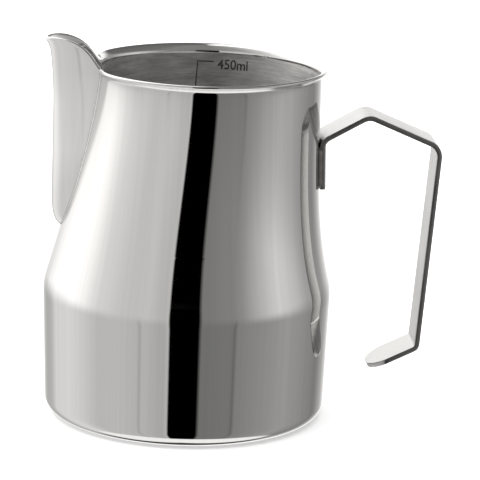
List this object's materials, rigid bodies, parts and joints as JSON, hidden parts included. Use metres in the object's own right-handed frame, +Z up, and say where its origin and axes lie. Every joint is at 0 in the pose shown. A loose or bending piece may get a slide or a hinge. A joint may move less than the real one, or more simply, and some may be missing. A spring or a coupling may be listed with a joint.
{
  "type": "milk frothing pitcher",
  "caption": "Polished steel jug with a bell-shaped body, a flared rim, a tall welded-in channel spout and a flat strip handle bent round the fingers and open at its foot.",
  "frame": {"origin": "centre of the round face that the pitcher stands on", "axes": "+Z up through the mouth, +X towards the handle, -X towards the spout; the plane y = 0 is the plane of symmetry"},
  "size_m": [0.117, 0.0852, 0.1124],
  "materials": {
    "polished_steel": "mirror polished outside, fine circular satin inside",
    "polished_spout_steel": "polished",
    "satin_strip_steel": "satin",
    "ground_weld_steel": "ground flush",
    "left_fillet_steel": "as welded",
    "right_fillet_steel": "as welded"
  },
  "bodies": {
    "root": {"jug_body": "polished_steel", "spout": "polished_spout_steel", "handle": "satin_strip_steel", "spout_weld": "ground_weld_steel", "handle_weld_left": "left_fillet_steel", "handle_weld_right": "right_fillet_steel"}
  },
  "joints": []
}
